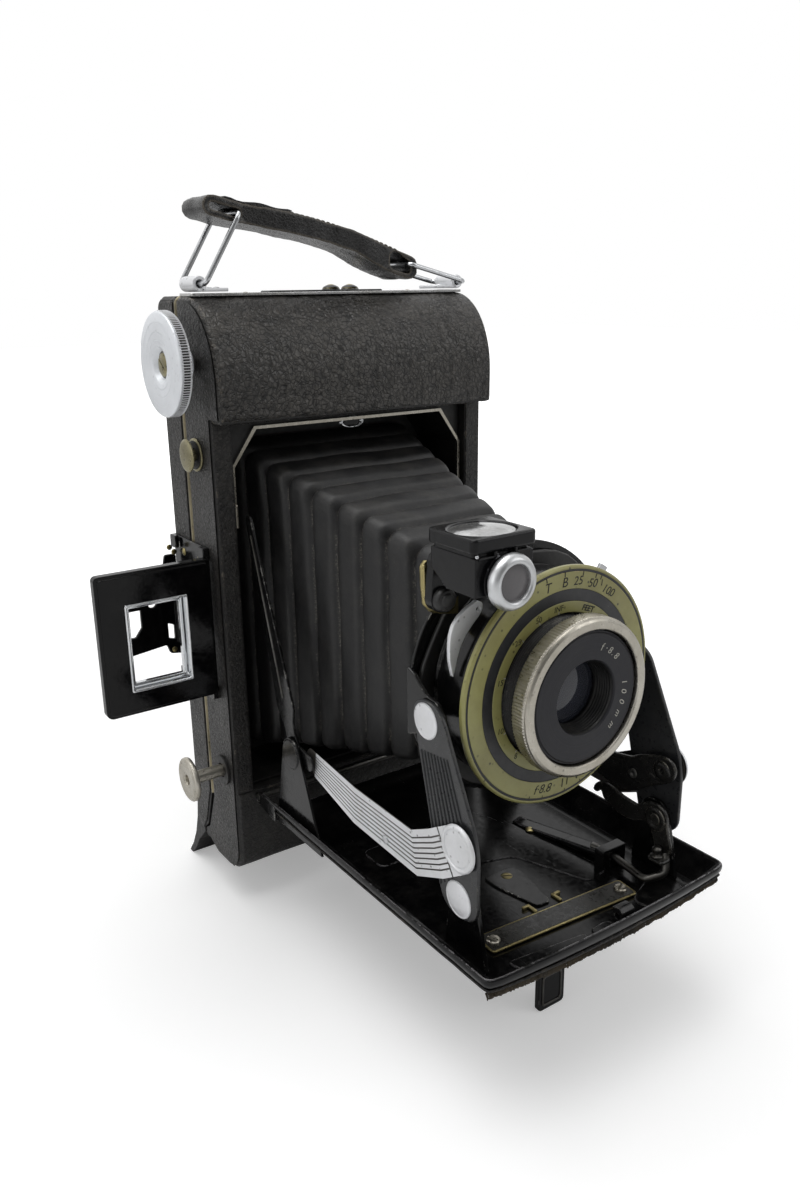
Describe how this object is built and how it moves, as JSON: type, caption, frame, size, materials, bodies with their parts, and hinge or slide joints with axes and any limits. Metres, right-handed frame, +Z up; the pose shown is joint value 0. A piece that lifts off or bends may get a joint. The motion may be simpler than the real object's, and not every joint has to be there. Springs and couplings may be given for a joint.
{
  "type": "folding roll-film camera",
  "caption": "Self-erecting 6x9 folding roll-film camera standing open on its back foot and bed leg, with bellows, two finders and a leather carrying handle.",
  "frame": {"origin": "on the table (Z = 0), in the plane through the lens axis (X = 0), at the seam between the front body and the back cover (Y = 0)", "axes": "+X runs across the body, away from the winding knob; the lens looks along -Y; +Z is up"},
  "size_m": [0.1131, 0.1376, 0.1846],
  "materials": {
    "leather": "grained black leather over an aluminium body",
    "black_enamel": "gloss black enamel, worn at the edges",
    "black_metal": "satin black paint",
    "chrome": "bright plated",
    "nickel": "satin nickel plated",
    "brass": "aged brass",
    "steel": "dull steel",
    "olive_gold": "satin olive gold with black markings",
    "bellows_cloth": "black folded bellows cloth",
    "glass": "polished lens glass",
    "red_glass": "red celluloid window"
  },
  "bodies": {
    "body": {"front_body": "leather", "bellows_frame": "black_metal", "bed_hinge_pin": "steel", "top_plate": "chrome", "handle_clip_left": "chrome", "handle_clip_right": "chrome", "finder_hinge_post": "black_enamel"},
    "roller_top": {"film_roller_top": "steel"},
    "roller_bottom": {"film_roller_bottom": "steel"},
    "winder": {"winding_knob": "nickel", "winding_shaft": "brass", "take_up_spool": "black_metal"},
    "supply": {"supply_spool": "black_metal"},
    "pull_pin": {"spool_pull_pin": "nickel"},
    "release": {"release_button": "brass"},
    "back": {"back_cover": "leather", "red_window": "red_glass", "pressure_plate": "black_metal", "pressure_spring": "steel"},
    "latch": {"back_latch": "black_enamel"},
    "shutter_plate": {"window_shutter": "nickel"},
    "bail_left": {"handle_bail_left": "chrome"},
    "bail_right": {"handle_bail_right": "chrome"},
    "handle": {"strap": "leather"},
    "bed": {"bed": "black_enamel", "bed_rod": "steel", "ear_left": "black_enamel", "ear_right": "black_enamel"},
    "leg": {"bed_leg": "black_enamel"},
    "arm_left": {"arm_left": "black_enamel"},
    "arm_right": {"arm_right": "black_enamel"},
    "link_left": {"link_left": "chrome"},
    "link_right": {"link_right": "chrome"},
    "strut_left": {"strut_left": "black_enamel"},
    "strut_right": {"strut_right": "black_enamel"},
    "lock_lever": {"lock_lever_right": "black_enamel"},
    "bed_latch": {"bed_latch_right": "black_metal"},
    "standard": {"lens_yoke": "black_enamel", "lens_board": "black_enamel", "shutter_housing": "black_enamel", "scale_plate": "olive_gold", "lens_barrel": "black_metal", "iris_diaphragm": "black_metal", "shutter_blades": "steel", "rear_lens": "glass", "waist_bracket": "brass", "waist_pivot_screw": "black_enamel", "bellows": "bellows_cloth"},
    "focus": {"focus_ring": "nickel", "lens_cell": "black_enamel", "front_lens": "glass"},
    "release_lever": {"release_lever": "chrome"},
    "speed_lever": {"speed_lever": "chrome"},
    "stop_lever": {"stop_lever": "chrome"},
    "waist_finder": {"waist_finder_box": "black_enamel", "waist_finder_lid": "black_enamel", "waist_lens_ring": "chrome"},
    "finder": {"finder_frame": "black_enamel", "finder_bezel": "chrome"},
    "sight": {"rear_sight": "black_enamel"}
  },
  "joints": [
    {"name": "bed_fold", "type": "hinge", "parent": "body", "child": "bed", "pos_m": [0, -0.017, 0.033], "axis": [-1, 0, 0], "range_deg": [0, 90], "deforming": ["bellows"]},
    {"name": "arm_left_fold", "type": "hinge", "parent": "bed", "child": "arm_left", "pos_m": [0, -0.0978, 0.0434], "axis": [-1, 0, 0], "range_deg": [0, 70.3]},
    {"name": "arm_right_fold", "type": "hinge", "parent": "bed", "child": "arm_right", "pos_m": [0, -0.0978, 0.0434], "axis": [-1, 0, 0], "range_deg": [0, 70.3]},
    {"name": "standard_fold", "type": "hinge", "parent": "arm_left", "child": "standard", "pos_m": [0, -0.0867, 0.0793], "axis": [-1, 0, 0], "range_deg": [-160.3, 0]},
    {"name": "strut_left_fold", "type": "hinge", "parent": "bed", "child": "strut_left", "pos_m": [0, -0.0338, 0.0519], "axis": [-1, 0, 0], "range_deg": [-124.6, 0]},
    {"name": "strut_right_fold", "type": "hinge", "parent": "bed", "child": "strut_right", "pos_m": [0, -0.0338, 0.0519], "axis": [-1, 0, 0], "range_deg": [-124.6, 0]},
    {"name": "link_left_fold", "type": "hinge", "parent": "arm_left", "child": "link_left", "pos_m": [0, -0.0988, 0.056], "axis": [-1, 0, 0], "range_deg": [-71.9, 0]},
    {"name": "link_right_fold", "type": "hinge", "parent": "arm_right", "child": "link_right", "pos_m": [0, -0.0988, 0.056], "axis": [-1, 0, 0], "range_deg": [-71.9, 0]},
    {"name": "leg_fold", "type": "hinge", "parent": "bed", "child": "leg", "pos_m": [0, -0.094, 0.0228], "axis": [1, 0, 0], "range_deg": [0, 90]},
    {"name": "lock_lever_turn", "type": "hinge", "parent": "arm_right", "child": "lock_lever", "pos_m": [0, -0.0972, 0.0528], "axis": [1, 0, 0], "range_deg": [0, 8]},
    {"name": "bed_latch_turn", "type": "hinge", "parent": "bed", "child": "bed_latch", "pos_m": [0, -0.0978, 0.0434], "axis": [1, 0, 0], "range_deg": [0, 8]},
    {"name": "focus_turn", "type": "hinge", "parent": "standard", "child": "focus", "pos_m": [0, -0.098, 0.0816], "axis": [0, -1, 0], "range_deg": [-30, 240]},
    {"name": "release_lever_press", "type": "hinge", "parent": "standard", "child": "release_lever", "pos_m": [0, -0.0876, 0.0816], "axis": [0, 1, 0], "range_deg": [0, 16], "stiffness_Nm_per_rad": 0.02},
    {"name": "speed_lever_turn", "type": "hinge", "parent": "standard", "child": "speed_lever", "pos_m": [0, -0.0904, 0.0816], "axis": [0, -1, 0], "range_deg": [-30, 18]},
    {"name": "stop_lever_turn", "type": "hinge", "parent": "standard", "child": "stop_lever", "pos_m": [0, -0.0904, 0.0816], "axis": [0, -1, 0], "range_deg": [-30, 30]},
    {"name": "waist_finder_swing", "type": "hinge", "parent": "standard", "child": "waist_finder", "pos_m": [-0.0248, -0.0842, 0.1038], "axis": [0, 1, 0], "range_deg": [-90, 0]},
    {"name": "finder_fold", "type": "hinge", "parent": "body", "child": "finder", "pos_m": [-0.0444, -0.0086, 0.08125], "axis": [0, 0, -1], "range_deg": [0, 40]},
    {"name": "sight_fold", "type": "hinge", "parent": "body", "child": "sight", "pos_m": [-0.043, 0.0088, 0.085], "axis": [0, 0, 1], "range_deg": [0, 90]},
    {"name": "winder_turn", "type": "hinge", "parent": "body", "child": "winder", "pos_m": [-0.0453, -0.0076, 0.147], "axis": [-1, 0, 0], "continuous": true},
    {"name": "supply_spool_turn", "type": "hinge", "parent": "body", "child": "supply", "pos_m": [0, -0.0024, 0.0227], "axis": [-1, 0, 0], "continuous": true},
    {"name": "roller_top_turn", "type": "hinge", "parent": "body", "child": "roller_top", "pos_m": [0, 0.0061, 0.1342], "axis": [-1, 0, 0], "continuous": true},
    {"name": "roller_bottom_turn", "type": "hinge", "parent": "body", "child": "roller_bottom", "pos_m": [0, 0.0061, 0.0329], "axis": [-1, 0, 0], "continuous": true},
    {"name": "back_open", "type": "hinge", "parent": "body", "child": "back", "pos_m": [0, 0.0067, 0.0131], "axis": [-1, 0, 0], "range_deg": [0, 85]},
    {"name": "back_latch_slide", "type": "slide", "parent": "back", "child": "latch", "axis": [-1, 0, 0], "range_m": [0, 0.004]},
    {"name": "window_shutter_slide", "type": "slide", "parent": "back", "child": "shutter_plate", "axis": [1, 0, 0], "range_m": [0, 0.012]},
    {"name": "release_button_press", "type": "slide", "parent": "body", "child": "release", "axis": [1, 0, 0], "range_m": [0, 0.0015], "stiffness_N_per_m": 300},
    {"name": "pull_pin_slide", "type": "slide", "parent": "body", "child": "pull_pin", "axis": [1, 0, 0], "range_m": [0, 0.0042]},
    {"name": "bail_left_swing", "type": "hinge", "parent": "body", "child": "bail_left", "pos_m": [-0.0384, -0.0045, 0.1651], "axis": [0, 1, 0], "range_deg": [0, 44.3]},
    {"name": "bail_right_swing", "type": "hinge", "parent": "body", "child": "bail_right", "pos_m": [0.0384, -0.0045, 0.1651], "axis": [0, 1, 0], "range_deg": [0, 44.4]},
    {"name": "strap_swing", "type": "hinge", "parent": "bail_left", "child": "handle", "pos_m": [-0.02854, -0.0045, 0.18087], "axis": [0, 1, 0], "range_deg": [-70.8, 0]}
  ],
  "couplings": [
    {"joint": "arm_left_fold", "follows": "bed_fold", "ratio": 0.78},
    {"joint": "arm_right_fold", "follows": "bed_fold", "ratio": 0.78},
    {"joint": "standard_fold", "follows": "bed_fold", "ratio": -1.78},
    {"joint": "strut_left_fold", "follows": "bed_fold", "ratio": -1.3825},
    {"joint": "strut_right_fold", "follows": "bed_fold", "ratio": -1.3825},
    {"joint": "link_left_fold", "follows": "bed_fold", "ratio": -0.797},
    {"joint": "link_right_fold", "follows": "bed_fold", "ratio": -0.797},
    {"joint": "bail_right_swing", "follows": "bail_left_swing", "ratio": 1},
    {"joint": "strap_swing", "follows": "bail_left_swing", "ratio": -1.594}
  ]
}
